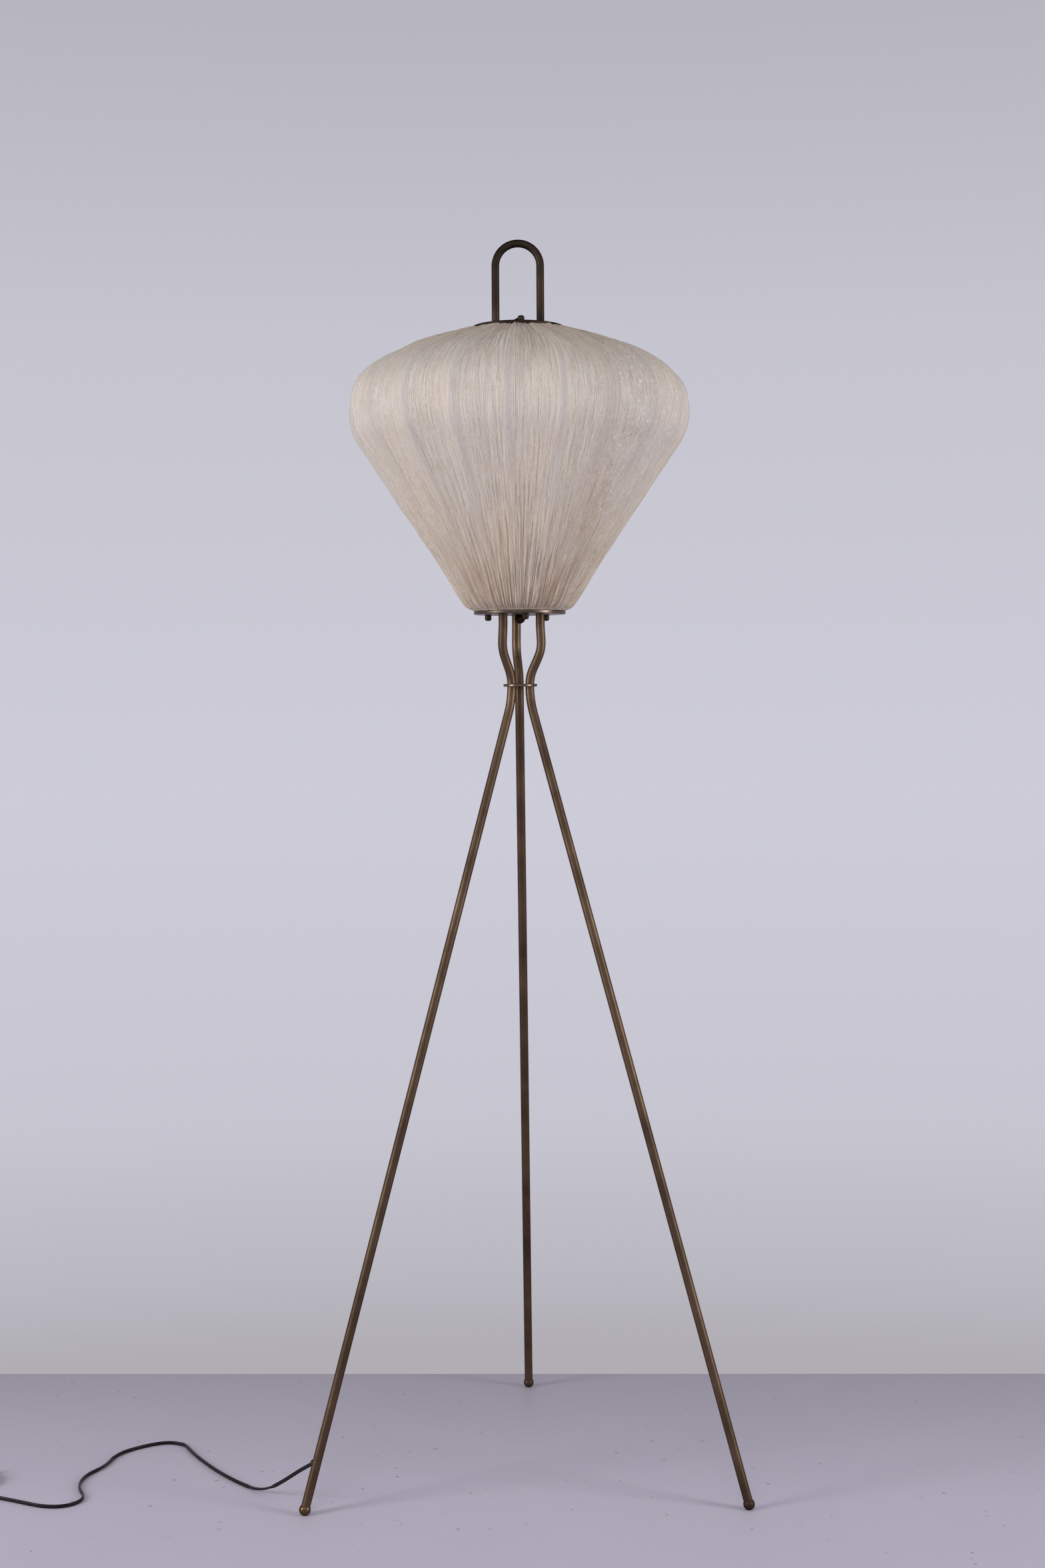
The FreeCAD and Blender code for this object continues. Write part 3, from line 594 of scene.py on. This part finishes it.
def cloth_mesh(cloth, verts, valley_shade, crumple):
    """The grid as a mesh, with the flat cloth in metres as its UV map and the marks that silk() reads."""
    wide = COLUMNS + 1
    first = (np.arange(ROWS)[:, None] * wide + np.arange(COLUMNS)[None, :]).reshape(-1)
    quads = np.stack([first, first + 1, first + wide + 1, first + wide], axis=1)
    mesh = bpy.data.meshes.new("shade")
    mesh.from_pydata(verts.tolist(), [], quads.tolist())
    mesh.shade_smooth()
    flat_u = cloth.fill(np.linspace(0, 1, wide) * 2 * math.pi * EQUATOR_R)
    flat = np.stack([flat_u, cloth.from_hem], axis=-1).reshape(-1, 2)
    uv_map = mesh.uv_layers.new(name="cloth")
    uv_map.data.foreach_set("uv", flat[quads.reshape(-1)].reshape(-1))
    # painted shade: a band over each rib, stored in the marks' alpha channel
    rib = np.exp(-(cloth.from_rib / RIB_SHADE_BAND) ** 4) * cloth.fullness * share(1.15 - 1.3 * cloth.gather_wide)
    marks = mesh.color_attributes.new(name=CLOTH_MARKS, type="FLOAT_COLOR", domain="POINT")
    channels = np.stack([valley_shade, crumple, share(cloth.gather_wide), rib], axis=-1)
    marks.data.foreach_set("color", channels.reshape(-1))
    return mesh


def make_shade(material):
    cloth = Cloth()
    rng = np.random.default_rng(NOISE_SEED)
    sag = rib_sag(cloth, rng)
    lift, valley_shade = gathers(cloth, rng)
    lift = lift + seam_pucker(cloth, rng)
    crumple = seam_crumple(cloth, rng)
    lift = lift + crumple * CRUMPLE_DEPTH * cloth.noise(rng, CRUMPLE_CELLS)
    valley_shade = np.maximum(valley_shade, seam_shade(cloth))
    mesh = cloth_mesh(cloth, cloth_places(cloth, lift, sag), valley_shade, crumple)
    mesh.materials.append(material.data)
    shade = add_object("shade", mesh)
    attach(shade, LAMP)
    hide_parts("shade_fabric")


# ---------------------------------------------------------------- materials
CLOTH_MARKS = "cloth_marks"     # channels: red painted shade in the valleys and at the seam, green crumple, blue gather, alpha painted shade band over a rib


def silk_crinkle(m):
    """Streaks along the cloth: wavy lines, finer threads and an even comb, from 0 to 1."""
    lines = m.noise(m.wavy((400, 18, 1), (40, 110, 1), 0.0020), detail=1, roughness=0.6)
    threads = m.noise(m.wavy((720, 120, 1), (60, 160, 1), 0.0014), detail=2, roughness=0.6)
    comb = m.combed(0.0027, (70, 95, 1), 0.0020)
    streaks = m.plus(m.times(lines, 0.50), m.times(threads, 0.50))
    return m.plus(m.times(streaks, 0.83), m.times(comb, 0.17))


def silk_colour(m, crinkle, grain, creases, crumple):
    """Cream, warmer in the gathers, with painted shade in the crinkle hollows that deepens in the gathers,
    painted highlights on ridges and grain, glints, a painted shade band over each rib, and painted shade in
    the fold valleys and at the seam.
    """
    cream, gathered_cream = (0.598, 0.566, 0.534), (0.690, 0.570, 0.425)
    # painted shade for the crinkle hollows, browner in the gathers
    crease_shade, gathered_crease_shade = (0.44, 0.392, 0.358), (0.50, 0.350, 0.205)
    ridge_highlight, grain_glint, glint_tone = (0.78, 0.74, 0.70), (0.90, 0.87, 0.84), (0.90, 0.87, 0.83)
    rib_shade_tone, valley_shade_tone = (0.415, 0.400, 0.402), (0.40, 0.250, 0.135)
    gather = m.channel(CLOTH_MARKS, "Blue")
    patch = m.noise(m.coords((9, 6, 1), source="UV"), detail=3)

    warm = m.times(m.ramp(patch, 0.32, 0.68, 0.5, 1.0), m.ramp(gather, 0.10, 0.55))
    colour = m.mix(warm, cream, gathered_cream)
    # painted shade: the crinkle hollows coloured darker, more so where the cloth is gathered
    crease_shade_tone = m.mix(m.ramp(gather, 0.12, 0.8), crease_shade, gathered_crease_shade)
    crease_shade_share = m.times(m.ramp(crinkle, 0.48, 0.38), m.ramp(gather, 0.1, 0.8, 0.42, 0.85))
    colour = m.mix(crease_shade_share, colour, crease_shade_tone)
    # painted highlight on the crests of the crinkles
    colour = m.mix(m.times(m.ramp(crinkle, 0.54, 0.62), 0.36), colour, ridge_highlight)
    # painted glints: near-white specks on the peaks of the grain
    colour = m.mix(m.ramp(grain, 0.57, 0.72, 0.0, 0.75), colour, grain_glint)
    glints = m.times(m.ramp(creases, 0.57, 0.66), m.ramp(crumple, 0.0, 1.0, 0.12, 0.75))
    colour = m.mix(glints, colour, glint_tone)
    # painted shade: a grey band over each rib
    colour = m.mix(m.times(m.channel(CLOTH_MARKS, "Alpha"), 0.60), colour, rib_shade_tone)
    # painted shade: dark brown in the fold valleys and along the seam
    return m.mix(m.times(m.channel(CLOTH_MARKS, "Red"), 0.72), colour, valley_shade_tone)


def silk():
    m = Material("crinkled_silk", (0.58, 0.50, 0.42), 0.42, Sheen_Weight=0.12, Sheen_Roughness=0.35,
                 Sheen_Tint=(1.0, 0.97, 0.94), Specular_IOR_Level=0.5)
    crinkle_depth, grain_depth, crease_depth = 0.0021, 0.0017, 0.0024      # metres
    crinkle = silk_crinkle(m)
    grain = m.noise(m.coords((560, 420, 1), source="UV"), detail=3, roughness=0.7)
    creases = m.noise(m.coords((190, 120, 1), source="UV"), detail=3, roughness=0.65)
    crumple = m.channel(CLOTH_MARKS, "Green")
    m.set("Base Color", silk_colour(m, crinkle, grain, creases, crumple))
    m.set("Roughness", m.ramp(grain, 0.3, 0.7, 0.30, 0.52))
    normal = m.bump(crinkle, crinkle_depth, m.ramp(m.channel(CLOTH_MARKS, "Alpha"), 0.0, 1.0, 0.9, 0.4))
    normal = m.bump(grain, grain_depth, m.plus(m.times(crumple, 0.45), 0.55), normal)
    m.set("Normal", m.bump(creases, crease_depth, m.times(crumple, 0.6), normal))
    return m


def metal(name, dark, light, roughness, along=UP, streak=900.0, edge=(0.16, 0.12, 0.09), metallic=1.0):
    """Patinated metal, with fine brushed streaks along one direction and slow colour changes."""
    streak_length, streak_depth = 0.012, 0.00006
    m = Material(name, light, roughness, metallic, Specular_Tint=edge)
    brushed = m.noise(m.coords((streak, streak, streak * streak_length), along), detail=2, roughness=0.6)
    cloud = m.noise(m.even(14), detail=3, roughness=0.55)
    specks = m.noise(m.even(420), detail=2)
    speck_tone = tuple(c * 0.6 for c in dark)
    tone = m.plus(m.times(brushed, 0.10), m.times(cloud, 1.05))
    colour = m.mix(m.ramp(tone, 0.42, 0.78), dark, light)
    m.set("Base Color", m.mix(m.ramp(specks, 0.66, 0.80, 0.0, 0.07), colour, speck_tone))
    m.set("Roughness", m.ramp(tone, 0.40, 0.85, roughness + 0.10, roughness - 0.07))
    m.set("Normal", m.bump(brushed, streak_depth, 0.06))
    return m


def moulded(name, color, roughness, grain=900.0, lift=0.01, **constants):
    """Plastic, rubber, paint or filament: an even colour with a fine surface grain and slight wear."""
    grain_depth, wear = 0.00006, 1.12
    m = Material(name, color, roughness, **constants)
    fine = m.noise(m.even(grain), detail=3)
    slow = m.noise(m.even(30), detail=3)
    worn = tuple(c * wear + lift for c in color)
    m.set("Base Color", m.mix(m.ramp(slow, 0.35, 0.7), color, worn))
    m.set("Roughness", m.ramp(slow, 0.3, 0.7, roughness - 0.06, roughness + 0.08))
    m.set("Normal", m.bump(fine, grain_depth, 0.5))
    return m


def cord_cover():
    return moulded("black_cord", (0.005, 0.005, 0.006), 0.33, grain=1400.0, lift=0.001,
                   Specular_IOR_Level=0.22)


def glass():
    m = Material("bulb_glass", (0.97, 0.98, 0.98), 0.03, Transmission_Weight=1.0, IOR=1.46)
    slow = m.noise(m.even(60), detail=2)
    m.set("Roughness", m.ramp(slow, 0.3, 0.7, 0.01, 0.05))
    return m


def floor_material():
    """Pale lilac floor with faint clouds and small dark specks, and painted shade that darkens it towards the
    wall.
    """
    darker, lighter = (0.520, 0.492, 0.600), (0.560, 0.530, 0.638)
    stain, speck, wall_shade = (0.50, 0.47, 0.57), (0.20, 0.18, 0.20), (0.30, 0.285, 0.34)
    wall_shade_from, wall_shade_to = -0.15, 0.42
    m = Material("floor", (0.40, 0.375, 0.47), 0.55, Specular_IOR_Level=0.35)
    slow = m.noise(m.even(1.3), detail=4)
    fine = m.noise(m.even(60), detail=4, roughness=0.65)
    specks = m.noise(m.even(62), detail=1)
    colour = m.mix(m.ramp(slow, 0.3, 0.7), darker, lighter)
    colour = m.mix(m.ramp(fine, 0.45, 0.8, 0.0, 0.22), colour, stain)
    colour = m.mix(m.ramp(specks, 0.74, 0.77, 0.0, 0.55), colour, speck)
    y = m.axis_of(m.even(1), "Y")
    # painted shade where the floor meets the wall
    m.set("Base Color", m.mix(m.ramp(y, wall_shade_from, wall_shade_to, 0.0, 0.55), colour, wall_shade))
    m.set("Roughness", m.ramp(slow, 0.3, 0.7, 0.48, 0.62))
    m.set("Normal", m.bump(fine, 0.0002, 0.3))
    return m


# ---------------------------------------------------------------- looks of the frame's pieces
def dress(material, *nodes):
    for node in nodes:
        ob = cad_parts[node]
        if not ob.material_slots:
            ob.data.materials.append(material.data)
        for slot in ob.material_slots:
            slot.material = material.data


def each(stem):
    """The three nodes of a repeated piece."""
    return ["%s_%d" % (stem, number) for number in (1, 2, 3)]


def leg_way(name):
    """Direction of a leg's straight lower part, from its ball foot to the waist plate."""
    return (middle("waist_plate") - middle("foot_ball_" + name)).normalized()


def dress_bronze():
    """Legs, plates, feet, nuts and handle, in bronze that differs a little in tone, with painted light and
    shade on the three feet.
    """
    for name in ("front_left", "front_right", "rear"):
        leg = metal("bronze_" + name, (0.068, 0.044, 0.029), (0.138, 0.090, 0.058), 0.42, along=leg_way(name),
                    metallic=0.85)
        dress(leg, "leg_" + name)
    plates = metal("bronze_plates", (0.066, 0.048, 0.036), (0.140, 0.104, 0.078), 0.34, streak=700.0,
                   edge=(0.85, 0.82, 0.86))
    # painted light and shade: the front left ball is coloured lighter, as lit, and the other two darker, as
    # shaded, though all three are copies of one ball
    lit_brass = metal("ball_brass", (0.080, 0.050, 0.026), (0.155, 0.100, 0.052), 0.34, streak=500.0)
    shaded_brass = metal("ball_brass_painted_shade", (0.050, 0.032, 0.024), (0.088, 0.056, 0.040), 0.42, streak=500.0,
                  metallic=0.85)
    dark = metal("dark_bronze", (0.022, 0.016, 0.012), (0.052, 0.037, 0.027), 0.46, metallic=0.85)
    dress(plates, "waist_plate", "lower_plate")
    dress(lit_brass, "foot_ball_front_left")
    dress(shaded_brass, "foot_ball_front_right", "foot_ball_rear")
    dress(dark, "lower_cap_nuts", "upper_cap_nuts", "lower_ball_nut", "upper_ball_nut")
    dress(dark, "carry_handle", "handle_plugs", "upper_plate")


def dress_inside():
    """Rod, shade frame, lampholders and bulbs, which the cloth hides."""
    bare = (1, 1, 1)
    steel = metal("zinc_steel", (0.42, 0.42, 0.41), (0.62, 0.62, 0.60), 0.34, edge=bare)
    contacts = metal("contact_brass", (0.50, 0.36, 0.16), (0.72, 0.54, 0.27), 0.30, edge=bare)
    caps = metal("cap_metal", (0.52, 0.51, 0.49), (0.74, 0.73, 0.70), 0.28, edge=bare)
    white_paint = moulded("white_steel", (0.62, 0.61, 0.58), 0.42)
    dress(steel, "centre_rod", "rod_nuts", "leg_inserts", "leg_nuts", "handle_screws", "cluster_hub")
    dress(steel, *each("holder_nipple"))
    dress(white_paint, "frame_lower_ring", "frame_upper_ring", "shade_ribs")
    dress(moulded("white_plastic", (0.72, 0.71, 0.68), 0.38), *each("lampholder"))
    dress(contacts, *each("holder_contact"))
    dress(caps, *each("bulb_cap"))
    dress(glass(), *each("bulb_glass"), *each("bulb_stem"))
    dress(moulded("filament", (0.80, 0.55, 0.22), 0.5), *each("bulb_filaments"))


def dress_cord():
    """The pieces on the lead, and the lead's hidden part in the leg."""
    rubber = moulded("black_rubber", (0.009, 0.009, 0.010), 0.38, lift=0.004, Specular_IOR_Level=0.35)
    gloss = moulded("black_gloss", (0.003, 0.003, 0.004), 0.22, lift=0.001, Specular_IOR_Level=0.3)
    pins = metal("pin_metal", (0.60, 0.58, 0.54), (0.82, 0.80, 0.74), 0.22, edge=(1, 1, 1))
    dress(rubber, "plug_body", "cord_tie")
    dress(gloss, "cable_grommet")
    dress(moulded("inner_cord", (0.014, 0.014, 0.015), 0.40), "inner_lead")
    dress(pins, "plug_pins")


# ---------------------------------------------------------------- stage and light
FLOOR_SIDE = 3.0                # half the floor's width
FLOOR_NEAR, FLOOR_FAR = -3.4, 0.42
# Pale lilac wall, with painted shade that darkens it towards the floor, most in a band where it meets the
# floor, and towards the ceiling: sine of the elevation looked at, and colour
WALL_TONES = [
    (-0.45, (0.50, 0.49, 0.55)), (-0.300, (0.430, 0.412, 0.448)), (-0.265, (0.490, 0.478, 0.535)),
    (-0.20, (0.565, 0.560, 0.635)), (-0.05, (0.610, 0.606, 0.690)), (0.16, (0.560, 0.556, 0.625)),
    (0.30, (0.470, 0.460, 0.520)), (0.42, (0.420, 0.410, 0.460)), (0.85, (0.34, 0.325, 0.330)),
]


def make_floor():
    corners = [(-FLOOR_SIDE, FLOOR_NEAR, 0), (FLOOR_SIDE, FLOOR_NEAR, 0), (FLOOR_SIDE, FLOOR_FAR, 0),
               (-FLOOR_SIDE, FLOOR_FAR, 0)]
    mesh = bpy.data.meshes.new("floor")
    mesh.from_pydata(corners, [], [(0, 1, 2, 3)])
    mesh.materials.append(floor_material().data)
    add_object("floor", mesh)


def softbox(name, place, target, size, power, color):
    data = bpy.data.lights.new(name, "AREA")
    data.shape = "RECTANGLE"
    data.size, data.size_y = size
    data.energy = power
    data.color = color
    way = Vector(target) - Vector(place)
    turn = way.to_track_quat("-Z", "Y").to_matrix().to_4x4()
    add_object(name, data).matrix_world = Matrix.Translation(place) @ turn


def make_light():
    shade_middle = (0, 0, 1.35)
    softbox("key_left", (-2.75, -1.45, 1.45), shade_middle, (0.8, 1.7), 49, (1.0, 0.98, 0.955))
    softbox("key_right", (2.85, -1.20, 1.40), shade_middle, (0.8, 1.7), 43, (1.0, 0.98, 0.95))
    softbox("front", (-0.4, -3.0, 2.9), (0, 0, 1.4), (1.6, 1.2), 19, (0.99, 0.99, 1.0))


def make_room():
    """The wall as the world's colour, which changes with height only."""
    world = bpy.data.worlds.new("room")
    world.use_nodes = True
    nodes, links = world.node_tree.nodes, world.node_tree.links
    around = nodes.new("ShaderNodeTexCoord")
    split = nodes.new("ShaderNodeSeparateXYZ")
    links.new(around.outputs["Generated"], split.inputs["Vector"])
    level = nodes.new("ShaderNodeMapRange")
    level.inputs["From Min"].default_value = -1.0
    links.new(split.outputs["Z"], level.inputs["Value"])
    ramp = nodes.new("ShaderNodeValToRGB")
    links.new(level.outputs["Result"], ramp.inputs["Fac"])
    stops = ramp.color_ramp.elements
    for number, (sine, colour) in enumerate(WALL_TONES):
        place = (sine + 1) / 2
        stop = stops[number] if number < 2 else stops.new(place)    # a ramp starts with two stops
        stop.position = place
        stop.color = (*colour, 1)
    links.new(ramp.outputs["Color"], nodes["Background"].inputs["Color"])
    nodes["Background"].inputs["Strength"].default_value = 1.0
    scene.world = world
    scene.view_settings.view_transform = "Standard"


make_camera()
make_lead(cord_cover())
make_shade(silk())
dress_bronze()
dress_inside()
dress_cord()
make_floor()
make_light()
make_room()
